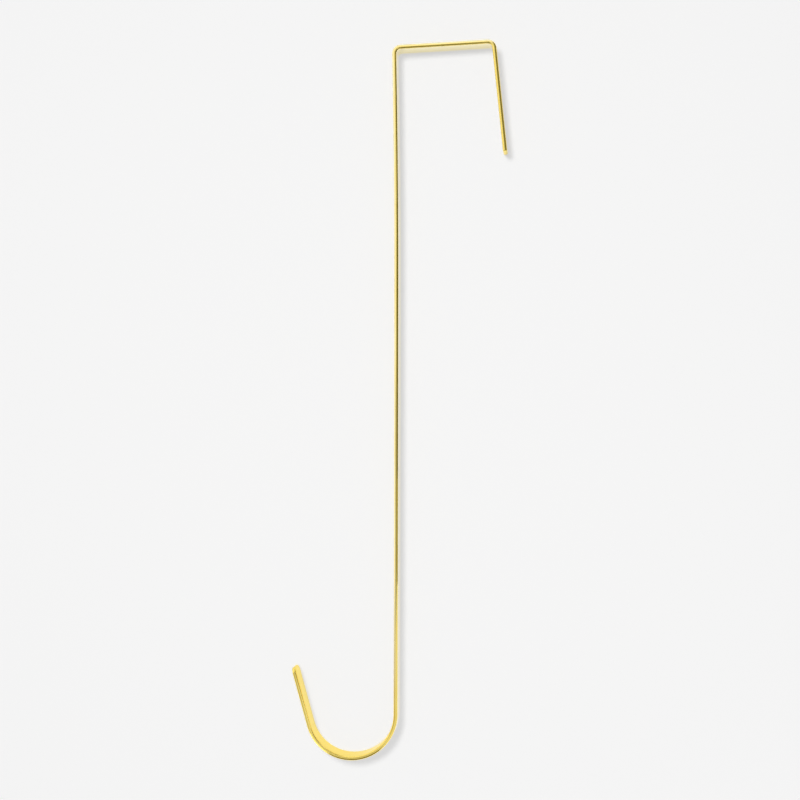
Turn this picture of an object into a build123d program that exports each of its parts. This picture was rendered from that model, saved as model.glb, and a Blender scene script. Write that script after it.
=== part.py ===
from build123d import *
import math
import os

# An over-the-door hook, bent cold from one length of flat strip with round rolled edges.
# It hangs as it is used: +Z is up, +X points from the front of the door to its back, and the
# strip's width lies along Y. The origin is the middle of the bar's underside, which is what
# rests on the door.

# The strip
strip_width = 12.0
strip_thickness = 2.0
end_softening = 0.5        # how far the sheared end of the lip is rounded over
tip_corner_radius = 3.0    # corners of the free tip, which carry the rolled edge round it

# The saddle that sits over the door
door_gap = 44.0            # between the inside faces, along the bar's underside
bend_inner_radius = 2.0
bend_angle = 92.4          # inside angle of both saddle bends, open a little by springing back
bar_tilt = 3.5             # how much the bar rises towards the back of the door
lip_length = 48.1          # straight part of the short leg behind the door

# The long leg in front of the door
shank_bow_length = 110.0   # its upper part, which is slightly curved
shank_bow_angle = 1.2      # how much the bow turns it, to hang plumb below
shank_straight_length = 194.5

# The hook that carries the load
hook_inner_radius = 19.3
hook_leg_length = 27.9     # straight part of the free leg, out to its tip
hook_leg_lean = 15.3       # how much the free leg leans out from plumb

# The path down the middle of the strip's thickness is drawn flat, with Y for up, from the
# middle of the bar outwards. Each run and bend leaves the one before it in its direction.
half_thickness = strip_thickness / 2
bend_radius = bend_inner_radius + half_thickness
bend_turn = 180 - bend_angle
bend_setback = bend_inner_radius * math.tan(math.radians(bend_turn / 2))
half_bar = door_gap / 2 - bend_setback
bar_middle = Vector(0, half_thickness).rotate(Axis.Z, bar_tilt)
to_the_back = Vector(1, 0).rotate(Axis.Z, bar_tilt)
to_the_front = -to_the_back

# Behind the door: half the bar, a bend down and the lip
back_bar = PolarLine(bar_middle, half_bar, direction=to_the_back)
back_bend = JernArc(back_bar @ 1, to_the_back, bend_radius, -bend_turn)
lip = PolarLine(back_bend @ 1, lip_length, direction=back_bend % 1)

# In front of the door: half the bar, a bend down and the shank
front_bar = PolarLine(bar_middle, half_bar, direction=to_the_front)
front_bend = JernArc(front_bar @ 1, to_the_front, bend_radius, bend_turn)
bow_radius = shank_bow_length / math.radians(shank_bow_angle)
shank_bow = JernArc(front_bend @ 1, front_bend % 1, bow_radius, -shank_bow_angle)
shank = PolarLine(shank_bow @ 1, shank_straight_length, direction=shank_bow % 1)

# The hook's curve turns from the shank's heading to that of its free leg.
shank_heading = 180 + bar_tilt + bend_turn - shank_bow_angle
leg_heading = 90 + hook_leg_lean
# The leg's plain strip ends where the rounded corners of its tip begin.
hook_radius = hook_inner_radius + half_thickness
hook_curve = JernArc(shank @ 1, shank % 1, hook_radius, leg_heading - shank_heading)
plain_leg_length = hook_leg_length - tip_corner_radius
hook_leg = PolarLine(hook_curve @ 1, plain_leg_length, direction=hook_curve % 1)

# Stood up in the XZ plane, the path carries the strip's section from end to end.
path = Plane.XZ * Wire([lip, back_bend, back_bar, front_bar, front_bend, shank_bow, shank,
                        hook_curve, hook_leg])
section_plane = Plane(origin=path @ 0, x_dir=(0, 1, 0), z_dir=path % 0)
section = section_plane * SlotOverall(strip_width, strip_thickness)
door_hook = sweep(section, path=path)

# The free tip is a plate with rolled edges: a quarter turn of half the section at each corner,
# and a straight run of it in between.
corner_offset = strip_width / 2 - tip_corner_radius
corner_flat = tip_corner_radius - half_thickness
half_section = (Rectangle(corner_flat, strip_thickness, align=(Align.MIN, Align.CENTER))
                + Pos(corner_flat) * Circle(half_thickness))
tip = Plane.XZ.from_local_coords(hook_leg @ 1)
tip_heading = Plane.XZ.from_local_coords(hook_leg % 1)
corner_plane = Plane(origin=tip + Vector(0, corner_offset, 0), x_dir=(0, 1, 0), z_dir=tip_heading)
corner_axis = Axis(corner_plane.origin, -corner_plane.y_dir)
tip_corner = revolve(corner_plane * half_section, axis=corner_axis, revolution_arc=90)
front_plane = Plane(origin=tip, x_dir=tip_heading, z_dir=(0, 1, 0))
tip_front = extrude(front_plane * half_section, amount=corner_offset, both=True)
door_hook += [tip_corner, mirror(tip_corner, about=Plane.XZ), tip_front]

# The lip's sheared end is tumbled soft, by less than half the strip's thickness.
end_radius = min(end_softening, 0.9 * half_thickness)
lip_end = door_hook.faces().sort_by_distance(Plane.XZ.from_local_coords(lip @ 1))[0]
door_hook = fillet(lip_end.edges(), end_radius)

os.makedirs("parts", exist_ok=True)
door_hook.label = "door_hook"
export_step(door_hook, "parts/door_hook.step")
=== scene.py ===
import math

import bmesh
import bpy
from mathutils import Matrix, Vector


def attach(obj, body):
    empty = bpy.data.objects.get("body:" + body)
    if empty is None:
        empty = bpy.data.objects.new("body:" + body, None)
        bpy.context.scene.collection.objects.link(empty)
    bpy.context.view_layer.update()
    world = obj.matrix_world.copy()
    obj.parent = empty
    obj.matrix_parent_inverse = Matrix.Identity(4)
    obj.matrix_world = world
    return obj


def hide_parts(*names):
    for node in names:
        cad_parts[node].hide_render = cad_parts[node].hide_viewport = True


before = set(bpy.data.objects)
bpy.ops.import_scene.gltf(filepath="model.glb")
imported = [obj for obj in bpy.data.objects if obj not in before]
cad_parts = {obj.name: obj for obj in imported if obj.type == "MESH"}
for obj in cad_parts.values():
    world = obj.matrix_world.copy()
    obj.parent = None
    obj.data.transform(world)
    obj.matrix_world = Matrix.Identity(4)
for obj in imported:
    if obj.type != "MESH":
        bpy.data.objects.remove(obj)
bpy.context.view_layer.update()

# The hook: one length of flat brass strip with round rolled edges, bent cold. The lip's end is cut
# square and tumbled soft, and the free tip of the J has rounded corners, rolled like the edges.
# It is drawn from the middle of the bar outwards, as each bend follows from the one before.
MM = 0.001
quarter_turn = math.radians(90)
strip_width = 12.0 * MM
strip_thickness = 2.0 * MM
end_softening = 0.5 * MM
door_gap = 44.0 * MM
bend_inner_radius = 2.0 * MM
bend_turn = math.radians(180 - 92.4)
bar_tilt = math.radians(3.5)
lip_length = 48.1 * MM
shank_bow_length = 110.0 * MM
shank_bow_turn = math.radians(1.2)
shank_straight_length = 194.5 * MM
hook_inner_radius = 19.3 * MM
hook_leg_length = 27.9 * MM
tip_corner_radius = 3.0 * MM
hook_leg_lean = math.radians(15.3)

half_thickness = strip_thickness / 2
flat_half_width = strip_width / 2 - half_thickness
corner_offset = strip_width / 2 - tip_corner_radius
bend_radius = bend_inner_radius + half_thickness
hook_radius = hook_inner_radius + half_thickness
half_bar = door_gap / 2 - bend_inner_radius * math.tan(bend_turn / 2)
hook_turn = quarter_turn + bar_tilt + bend_turn - shank_bow_turn - hook_leg_lean

# How finely the mesh follows the strip
section_points = 64
run_step = 4.0 * MM
bend_step = math.radians(3.5)
tip_corner_steps = 16
end_softening_steps = 6
touching = 0.001 * MM  # corners closer than this are one corner


def only(kind, geometry):
    """The corners or the edges among what an operator made."""
    return [part for part in geometry if isinstance(part, kind)]


def start_section(bm, along, around):
    """The strip's section at the middle of the bar: a small circle pulled apart along Y."""
    tilted = Matrix.Rotation(-bar_tilt, 4, "Y")
    lifted = Matrix.Translation((0, 0, half_thickness))
    half_step = math.pi / section_points
    stood_up = Matrix.Rotation(quarter_turn, 4, "Y") @ Matrix.Rotation(half_step, 4, "Z")
    made = bmesh.ops.create_circle(bm, segments=section_points, radius=half_thickness,
                                   matrix=tilted @ lifted @ stood_up)
    for corner in made["verts"]:
        corner.co.y += math.copysign(flat_half_width, corner.co.y)
    for cut in (-corner_offset, corner_offset):
        bmesh.ops.bisect_plane(bm, geom=[*bm.verts, *bm.edges], plane_co=(0, cut, 0),
                               plane_no=(0, 1, 0), dist=0.1 * touching)
    # The distance round the section is counted from the far edge, over the front face first.
    start = max(bm.verts, key=lambda corner: (round(corner.co.y, 6), corner.co.z))
    corner, travelled = start, 0.0
    edge = max(start.link_edges, key=lambda edge: edge.other_vert(start).co.z)
    while travelled == 0.0 or corner is not start:
        corner[around], corner[along] = travelled, 0.0
        travelled += edge.calc_length()
        corner = edge.other_vert(corner)
        edge = next(other for other in corner.link_edges if other is not edge)
    return list(bm.edges), travelled


class Strip:
    """The open end of the strip while it is being bent: its last ring, place and heading.

    The length along it is counted from the middle of the bar, upwards for a sign of 1 and
    downwards for -1.
    """

    def __init__(self, bm, along, ring, place, heading, sign):
        self.bm, self.along, self.ring = bm, along, ring
        self.place, self.heading, self.sign = place.copy(), heading.copy(), sign
        self.travelled = 0.0

    def keep(self, geometry, advance):
        """Takes the ring that was just made as the last one, and notes how far along it lies."""
        self.travelled += advance
        self.ring = only(bmesh.types.BMEdge, geometry)
        for corner in {corner for edge in self.ring for corner in edge.verts}:
            corner[self.along] = self.sign * self.travelled

    def run(self, length):
        """Draws the strip straight on."""
        steps = max(1, round(length / run_step))
        for _ in range(steps):
            made = bmesh.ops.extrude_edge_only(self.bm, edges=self.ring)["geom"]
            corners = only(bmesh.types.BMVert, made)
            bmesh.ops.translate(self.bm, verts=corners, vec=self.heading * length / steps)
            fresh = set(corners)
            ring = [edge for edge in only(bmesh.types.BMEdge, made) if set(edge.verts) <= fresh]
            self.keep(ring, length / steps)
        self.place += self.heading * length

    def bend(self, radius, turn, step=bend_step):
        """Turns anticlockwise for a positive turn, as seen along +Y."""
        side = 1 if turn > 0 else -1
        leftward = Vector((-self.heading.z, 0, self.heading.x))
        centre = self.place + leftward * radius * side
        steps = max(1, round(abs(turn) / step))
        for _ in range(steps):
            made = bmesh.ops.spin(self.bm, geom=self.ring, cent=centre, axis=(0, 1, 0),
                                  angle=-turn / steps, steps=1)
            self.keep(made["geom_last"], radius * abs(turn) / steps)
        swing = Matrix.Rotation(-turn, 3, "Y")
        self.place = centre + swing @ (self.place - centre)
        self.heading = swing @ self.heading

    def shear_off(self):
        """Closes the end and rounds its rim over."""
        bmesh.ops.edgeloop_fill(self.bm, edges=self.ring)
        bmesh.ops.bevel(self.bm, geom=self.ring, offset=end_softening,
                        segments=end_softening_steps, profile=0.5, affect="EDGES", material=-1)

    def round_off(self):
        """Carries the rolled edge round both corners of the end, and closes it between them."""
        upward = self.heading.cross(Vector((0, 1, 0)))
        for side in (1, -1):
            centre = self.place + Vector((0, side * corner_offset, 0))
            outer = [edge for edge in self.ring
                     if all(corner.co.y * side > corner_offset - touching for corner in edge.verts)]
            before = set(self.bm.verts)
            made = bmesh.ops.spin(self.bm, geom=outer, cent=centre, axis=upward,
                                  angle=-side * quarter_turn, steps=tip_corner_steps)
            if side > 0:
                rim = only(bmesh.types.BMEdge, made["geom_last"])
                across = bmesh.ops.extrude_edge_only(self.bm, edges=rim)["geom"]
                bmesh.ops.translate(self.bm, verts=only(bmesh.types.BMVert, across),
                                    vec=(0, -2 * corner_offset, 0))
            for corner in set(self.bm.verts) - before:
                past = (corner.co - self.place).dot(self.heading)
                corner[self.along] = self.sign * (self.travelled + past)


def placed(name, made):
    """Turns a finished bmesh into an object of the scene."""
    mesh = bpy.data.meshes.new(name)
    made.to_mesh(mesh)
    made.free()
    piece = bpy.data.objects.new(name, mesh)
    bpy.context.scene.collection.objects.link(piece)
    return piece


strip_mesh = bmesh.new()
along = strip_mesh.verts.layers.float.new("along")
around = strip_mesh.verts.layers.float.new("around")
first_ring, girth = start_section(strip_mesh, along, around)
bar_middle = Matrix.Rotation(-bar_tilt, 3, "Y") @ Vector((0, 0, half_thickness))
to_the_back = Vector((math.cos(bar_tilt), 0, math.sin(bar_tilt)))

behind = Strip(strip_mesh, along, first_ring, bar_middle, to_the_back, 1)
behind.run(half_bar)
behind.bend(bend_radius, -bend_turn)
behind.run(lip_length)

front = Strip(strip_mesh, along, first_ring, bar_middle, -to_the_back, -1)
front.run(half_bar)
front.bend(bend_radius, bend_turn)
front.bend(shank_bow_length / shank_bow_turn, -shank_bow_turn,
           step=shank_bow_turn * run_step / shank_bow_length)
front.run(shank_straight_length)
front.bend(hook_radius, -hook_turn)
front.run(hook_leg_length - tip_corner_radius)
front.round_off()

# Before the lip's end is closed, each side face is laid out flat: its distance along the strip
# and round its section, in metres, so that the drawn lines follow every bend.
layout = strip_mesh.loops.layers.uv.new("strip_layout")
for face in strip_mesh.faces:
    distances = [loop.vert[around] for loop in face.loops]
    closes_round = max(distances) - min(distances) > girth / 2
    for loop in face.loops:
        turned_on = girth if closes_round and loop.vert[around] < girth / 2 else 0.0
        loop[layout].uv = (loop.vert[along], loop.vert[around] + turned_on)
behind.shear_off()
bmesh.ops.remove_doubles(strip_mesh, verts=strip_mesh.verts, dist=touching)
bmesh.ops.recalc_face_normals(strip_mesh, faces=strip_mesh.faces)
for face in strip_mesh.faces:
    face.smooth = True

hook = placed("bent_strip", strip_mesh)
evened = hook.modifiers.new("evened", "WEIGHTED_NORMAL")
evened.mode = "FACE_AREA"
evened.keep_sharp = True

# The brass is drawn through rollers, which leaves fine lines along its length. The side that
# faces the door has clear lacquer, and its colour is painted paler there as a painted sheen. The
# front corner of the near edge and the J's outer corner get a painted highlight, and each tight
# bend is a little duller.
darker_brass = (0.93, 0.715, 0.18, 1)
lighter_brass = (0.965, 0.775, 0.225, 1)
drawn_line_brass = (0.86, 0.63, 0.13, 1)
rubbed_brass = (0.97, 0.82, 0.33, 1)
dull_brass = (0.90, 0.72, 0.24, 1)
# A paler brass for the door side: a painted sheen, for the pale sheet it mirrors at a grazing angle
painted_sheen_brass = (0.92, 0.80, 0.46, 1)
# A paler brass for the corners of the near edge: a painted highlight
painted_highlight_brass = (0.96, 0.84, 0.50, 1)
brass_glint = (1.0, 0.94, 0.6, 1)
bump_height = 0.006 * MM


class Finish:
    """Adds the nodes of one finish. A value is a number, a colour or another node's output."""

    def __init__(self, tree):
        self.tree = tree

    def feed(self, socket, value):
        """Sets a socket to its number or colour, or links another node's output to it."""
        if isinstance(value, bpy.types.NodeSocket):
            self.tree.links.new(value, socket)
        else:
            socket.default_value = value

    def add(self, kind, values=None):
        """A new node, with the values of its sockets by name or number."""
        node = self.tree.nodes.new("ShaderNode" + kind)
        for name, value in (values or {}).items():
            self.feed(node.inputs[name], value)
        return node

    def math(self, operation, *values):
        node = self.add("Math", dict(enumerate(values)))
        node.operation = operation
        return node.outputs[0]

    def between(self, value, low, high, to_low=0.0, to_high=1.0):
        """A smooth change from to_low to to_high, as the value goes from low to high."""
        node = self.add("MapRange", {"Value": value, "From Min": low, "From Max": high,
                                     "To Min": to_low, "To Max": to_high})
        node.interpolation_type = "SMOOTHSTEP"
        return node.outputs["Result"]

    def noise(self, vector, scale, detail, roughness=0.5):
        """Cloudy spots, as many to a metre as the scale says."""
        node = self.add("TexNoise", {"Vector": vector, "Scale": scale, "Detail": detail,
                                     "Roughness": roughness})
        return node.outputs["Fac"]

    def streaks(self, layout, lengthwise, crosswise, detail, roughness):
        """Marks along the strip, as many to a metre each way as the two numbers say."""
        drawn_out = self.add("Mapping", {"Vector": layout, "Scale": (lengthwise, crosswise, 1)})
        return self.noise(drawn_out.outputs["Vector"], 1.0, detail, roughness)

    def mixed(self, share, first, second):
        """The first colour, and the second one by its share."""
        node = self.add("Mix")
        node.data_type = "RGBA"
        # Its sockets for colours are numbers 6 and 7; those before them take other kinds.
        for number, value in ((0, share), (6, first), (7, second)):
            self.feed(node.inputs[number], value)
        return node.outputs[2]


brass = bpy.data.materials.new("polished_brass")
brass.use_nodes = True
metal = Finish(brass.node_tree)
shader = brass.node_tree.nodes["Principled BSDF"]
shader.inputs["Metallic"].default_value = 1.0
shader.inputs["Specular Tint"].default_value = brass_glint

layout_node = metal.add("UVMap")
layout_node.uv_map = "strip_layout"
flat_layout = layout_node.outputs["UV"]
both_ways = metal.add("SeparateXYZ", {0: flat_layout})
lengthwise, crosswise = both_ways.outputs["X"], both_ways.outputs["Y"]
place = metal.add("TexCoord").outputs["Object"]

# Marks and clouds in the metal
draw_lines = metal.streaks(flat_layout, lengthwise=14, crosswise=5200, detail=4.0, roughness=0.6)
long_marks = metal.streaks(flat_layout, lengthwise=60, crosswise=900, detail=3.0, roughness=0.55)
cloud = metal.noise(place, scale=38.0, detail=4.0, roughness=0.6)
grain = metal.noise(place, scale=2600.0, detail=2.0)
rubbed = metal.between(long_marks, 0.60, 0.72)

# Where the round near edge meets the front face and the face to the door
near_edge = girth / 2
front_corner = near_edge - quarter_turn * half_thickness
back_corner = near_edge + quarter_turn * half_thickness
door_side = metal.between(crosswise, back_corner - 1.0 * MM, back_corner - 0.1 * MM)
near_corner = metal.math(
    "MULTIPLY", metal.between(crosswise, front_corner - 0.3 * MM, front_corner),
    metal.between(crosswise, near_edge - 0.5 * MM, near_edge + 0.2 * MM, 1.0, 0.0))
outer_corner = metal.math(
    "MULTIPLY", metal.between(crosswise, back_corner - 0.9 * MM, back_corner - 0.5 * MM),
    metal.between(crosswise, back_corner, back_corner + 0.4 * MM, 1.0, 0.0))

# Where along the strip the J, the lip and the tight bends are
shank_end = half_bar + bend_radius * bend_turn + shank_bow_length + shank_straight_length
above_curve = metal.between(lengthwise, -shank_end, -shank_end + 25 * MM)
before_lip = metal.between(lengthwise, half_bar, half_bar + 5 * MM, 1.0, 0.25)
bend_middle = half_bar + bend_radius * bend_turn / 2
from_bend = metal.math("SUBTRACT", metal.math("ABSOLUTE", lengthwise), bend_middle)
bent_metal = metal.between(metal.math("ABSOLUTE", from_bend), 1.5 * MM, 4.5 * MM, 1.0, 0.0)

# Painted highlight: a paler colour on the front half of the near edge above the J, fainter on the lip,
# and on the J's outer corner
upper_painted_highlight = metal.math("MULTIPLY", near_corner, metal.math("MULTIPLY", above_curve, before_lip))
curve_painted_highlight = metal.math("MULTIPLY", outer_corner, metal.math("SUBTRACT", 1.0, above_curve))
painted_edge_highlight = metal.math("MULTIPLY", metal.math("ADD", upper_painted_highlight, curve_painted_highlight),
                       metal.between(cloud, 0.35, 0.60, 0.6, 0.85))

tone = metal.mixed(metal.between(cloud, 0.35, 0.68), darker_brass, lighter_brass)
tone = metal.mixed(metal.between(draw_lines, 0.36, 0.60, 0.55, 0.0), tone, drawn_line_brass)
tone = metal.mixed(metal.math("MULTIPLY", rubbed, 0.5), tone, rubbed_brass)
tone = metal.mixed(metal.math("MULTIPLY", bent_metal, 0.25), tone, dull_brass)
# The side that faces the door is painted paler: a painted sheen for the pale sheet it mirrors at a
# grazing angle. Its coat of clear lacquer below is real.
tone = metal.mixed(door_side, tone, painted_sheen_brass)
# The corners of the near edge are painted paler here: a painted highlight, broken up by the cloud.
tone = metal.mixed(painted_edge_highlight, tone, painted_highlight_brass)
metal.feed(shader.inputs["Base Color"], tone)
metal.feed(shader.inputs["Coat Weight"], door_side)

roughness = metal.math("ADD", metal.between(draw_lines, 0.25, 0.75, 0.13, 0.21),
                       metal.between(cloud, 0.3, 0.7, -0.02, 0.03))
roughness = metal.math("ADD", roughness, metal.math("MULTIPLY", rubbed, 0.05))
roughness = metal.math("ADD", roughness, metal.math("MULTIPLY", bent_metal, 0.07))
metal.feed(shader.inputs["Roughness"], roughness)

lines_height = metal.math("MULTIPLY", draw_lines, 0.7)
marks_height = metal.math("MULTIPLY", long_marks, 0.5)
grain_height = metal.math("MULTIPLY", metal.math("MULTIPLY", grain, bent_metal), 1.2)
height = metal.math("ADD", metal.math("ADD", lines_height, marks_height), grain_height)
bump = metal.add("Bump", {"Strength": 0.5, "Distance": bump_height, "Height": height})
metal.feed(shader.inputs["Normal"], bump.outputs["Normal"])
hook.data.materials.append(brass)

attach(hook, "root")
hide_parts("door_hook")

# The camera looks straight along +Y at the hook's side, as the photograph does. The point that
# it faces lies to the right of the picture's middle, so the picture is shifted in the lens.
picture_pixels = 800
faced_column = 560
camera_place = (53.43 * MM, -752 * MM, -162.9 * MM)
pixels_to_a_metre = 2.17 / MM
near_face_away = -camera_place[1] - flat_half_width
focal_pixels = pixels_to_a_metre * near_face_away
camera_data = bpy.data.cameras.new("camera")
camera_data.sensor_width = 36.0
camera_data.lens = camera_data.sensor_width * focal_pixels / picture_pixels
camera_data.shift_x = (picture_pixels / 2 - faced_column) / picture_pixels
camera = bpy.data.objects.new("camera", camera_data)
camera.location = camera_place
camera.rotation_euler = (quarter_turn, 0, 0)
bpy.context.scene.collection.objects.link(camera)
bpy.context.scene.camera = camera
bpy.context.scene.view_settings.view_transform = "Standard"

# The sheet: pale matt card that the hook lies flat on, against the strip's far edge. A glow of its
# own makes it as pale as in the photograph without more light on the hook, and it is clear from
# behind. The glow grows to the right and downwards, where less of the lamp's light comes.
sheet_half_side = 1.5
sheet_middle = (0, strip_width / 2, -0.16)
sheet_grey = (0.8, 0.8, 0.8, 1)
seen_glow = 0.60
mirrored_glow = 0.72
glow_growth = (0.132, 0, -0.223)
glow_at_bar = 0.986


def seen_directly(finish):
    """1 for what the camera sees, directly or mirrored in metal, and 0 for bounced light."""
    path = finish.add("LightPath").outputs
    seen = finish.math("MAXIMUM", path["Is Camera Ray"], path["Is Glossy Ray"])
    seen = finish.math("MAXIMUM", seen, path["Is Transmission Ray"])
    unbounced = finish.math("LESS_THAN", path["Diffuse Depth"], 0.5)
    return finish.math("MULTIPLY", seen, unbounced)


def flat_finish(piece, name):
    """Gives a flat piece a material that has no nodes yet."""
    material = bpy.data.materials.new(name)
    material.use_nodes = True
    material.node_tree.nodes.clear()
    piece.data.materials.append(material)
    return Finish(material.node_tree)


def show_unless(finish, hidden, surface):
    """Ends a finish with its surface, which is clear where hidden is 1."""
    clear = finish.add("BsdfTransparent")
    shown = finish.add("MixShader", {0: hidden, 1: surface.outputs[0], 2: clear.outputs[0]})
    finish.add("OutputMaterial", {"Surface": shown.outputs[0]})


sheet_mesh = bmesh.new()
stood_up = Matrix.Translation(sheet_middle) @ Matrix.Rotation(quarter_turn, 4, "X")
bmesh.ops.create_grid(sheet_mesh, x_segments=1, y_segments=1, size=sheet_half_side, matrix=stood_up)
sheet = placed("floor", sheet_mesh)

paper = flat_finish(sheet, "pale_sheet")
in_metal = paper.add("LightPath").outputs["Is Glossy Ray"]
glow_level = paper.math("MULTIPLY", seen_directly(paper),
                        paper.between(in_metal, 0.0, 1.0, seen_glow, mirrored_glow))
growth = paper.add("VectorMath", {0: paper.add("TexCoord").outputs["Object"], 1: glow_growth})
growth.operation = "DOT_PRODUCT"
evened_glow = paper.math("ADD", growth.outputs["Value"], glow_at_bar)
matt = paper.add("BsdfDiffuse", {"Color": sheet_grey})
glow = paper.add("Emission", {"Strength": paper.math("MULTIPLY", glow_level, evened_glow)})
matt_and_glow = paper.add("AddShader", {0: matt.outputs[0], 1: glow.outputs[0]})
show_unless(paper, paper.add("NewGeometry").outputs["Backfacing"], matt_and_glow)

# The room: white on all sides where the camera or the metal looks at it, and only a dim even
# light on everything else.
room_light = 0.072
room_seen = 0.95
white = (1, 1, 1, 1)
world = bpy.data.worlds.new("studio")
bpy.context.scene.world = world
world.use_nodes = True
room = Finish(world.node_tree)
walls = world.node_tree.nodes["Background"]
walls.inputs["Color"].default_value = white
room.feed(walls.inputs["Strength"], room.between(seen_directly(room), 0.0, 1.0, room_light, room_seen))

# The lamp: one round soft lamp well in front of the hook, a little to its left and above it. It
# throws the soft shadow on the sheet, to the right and downwards, and the metal doesn't mirror it.
key_place = Vector((-0.243, -1.31, 0.21))
key_aim = Vector((-0.02, 0, -0.16))
key_width = 0.36
key_power = 6.3
key = bpy.data.lights.new("key", "AREA")
key.shape = "DISK"
key.size = key_width
key.energy = key_power
key_lamp = bpy.data.objects.new("key", key)
key_lamp.location = key_place
key_lamp.rotation_euler = (key_aim - key_place).to_track_quat("-Z", "Y").to_euler()
key_lamp.visible_glossy = False
bpy.context.scene.collection.objects.link(key_lamp)

# The cards: flat boards round the hook that only the metal mirrors. Brown ones give the polished
# strip its dark stripes, and grey and bright ones its light stripes. Each has its middle and the
# two directions that its sides run in.
brown = (1.0, 0.95, 0.45, 1)


def card(name, colour, radiance, middle, across, upward):
    """A card is seen only from the side where across turns to upward anticlockwise."""
    half_side = 0.5
    made = bmesh.new()
    across, upward = Vector(across), Vector(upward)
    spread = Matrix((across, upward, across.cross(upward).normalized())).transposed().to_4x4()
    bmesh.ops.create_grid(made, x_segments=1, y_segments=1, size=half_side,
                          matrix=Matrix.Translation(middle) @ spread)
    thing = placed(name, made)
    thing.visible_camera = False
    thing.visible_diffuse = False
    thing.visible_shadow = False
    board = flat_finish(thing, name)
    light = board.add("Emission", {"Color": colour, "Strength": radiance})
    behind_it = board.add("NewGeometry").outputs["Backfacing"]
    bounced = board.add("LightPath").outputs["Diffuse Depth"]
    show_unless(board, board.math("MAXIMUM", behind_it, bounced), light)


# Right of the shank, facing it: dark cards close by, and a paler one at the top, further forward
card("shank_flag", brown, radiance=0.14,
     middle=(0, -0.015, -0.101), across=(0, -0.042, 0), upward=(0, 0, 0.198))
card("shank_flag_edge", brown, radiance=0.35,
     middle=(0, -0.046, -0.1325), across=(0, -0.020, 0), upward=(0, 0, 0.135))
card("upper_shank_card", white, radiance=0.75,
     middle=(0, -0.113, -0.0175), across=(0, -0.154, 0), upward=(0, 0, 0.095))
card("low_shank_flag", brown, radiance=0.33,
     middle=(0, -0.027, -0.225), across=(0, -0.066, 0), upward=(0, 0, 0.05))

# Right of the lip
card("lip_flag", brown, radiance=0.22,
     middle=(0.045, -0.095, -0.01), across=(0, -0.202, 0), upward=(0, 0, 0.10))

# In front, between the camera and the hook
front_away = -0.60
card("front_card", white, radiance=0.66,
     middle=(-0.011, front_away, -0.24), across=(-0.502, 0, 0), upward=(0, 0, 0.42))
card("front_card_edge", white, radiance=0.88,
     middle=(-0.376, front_away, -0.19), across=(-0.228, 0, 0), upward=(0, 0, 0.52))
card("upper_left_card", white, radiance=0.75,
     middle=(-0.175, front_away, 0.035), across=(-0.174, 0, 0), upward=(0, 0, 0.13))
card("bar_card", white, radiance=1.20,
     middle=(-0.045, front_away, 0.085), across=(-0.09, 0, 0), upward=(0, 0, 0.29))

# In front of the J, close to it
curve_away = -0.15
card("curve_card", white, radiance=0.55,
     middle=(-0.045, curve_away, -0.2205), across=(-0.23, 0, 0), upward=(0, 0, 0.13))
card("curve_card_left", white, radiance=0.72,
     middle=(-0.1025, curve_away, -0.3355), across=(-0.115, 0, 0), upward=(0, 0, 0.10))
card("curve_card_right", white, radiance=0.92,
     middle=(0.0125, curve_away, -0.3355), across=(-0.115, 0, 0), upward=(0, 0, 0.10))

# Level cards below the bar and below the J, facing up
below_curve = -0.45
card("bar_flag", brown, radiance=0.14,
     middle=(-0.015, -0.185, -0.10), across=(0.08, 0, 0), upward=(0, 0.27, 0))
card("bar_flag_edge", brown, radiance=0.45,
     middle=(0.001, -0.010, -0.03), across=(0.038, 0, 0), upward=(0, 0.030, 0))
card("curve_flag", brown, radiance=0.20,
     middle=(-0.05, -0.14, below_curve), across=(0.16, 0, 0), upward=(0, 0.22, 0))
card("curve_flag_edge", brown, radiance=0.35,
     middle=(-0.05, -0.012, below_curve), across=(0.16, 0, 0), upward=(0, 0.036, 0))

# Right of the J: a dark card above a pale one
card("curve_side_flag", brown, radiance=0.15,
     middle=(0.11, -0.128, -0.24), across=(-0.085, -0.095, 0), upward=(-0.03, 0.027, 0.08))
card("curve_side_card", white, radiance=0.80,
     middle=(0.18, -0.21, -0.385), across=(-0.20, -0.20, 0), upward=(0, 0, 0.14))

# Left of the J
card("leg_card", white, radiance=0.50,
     middle=(-0.215, -0.13, -0.34), across=(-0.08, 0.115, 0), upward=(0, 0, 0.13))

# Bright cards above the bar and to the left
card("top_card", white, radiance=1.15,
     middle=(0, -0.30, 0.25), across=(-1.0, 0, 0), upward=(0, 0.62, 0))
card("left_card", white, radiance=1.15,
     middle=(-0.25, -0.18, -0.09), across=(0, 0.372, 0), upward=(0, 0, 0.42))
card("low_left_card", white, radiance=1.9,
     middle=(-0.238, -0.134, -0.516), across=(-0.126, 0.18, 0), upward=(-0.077, -0.053, 0.104))
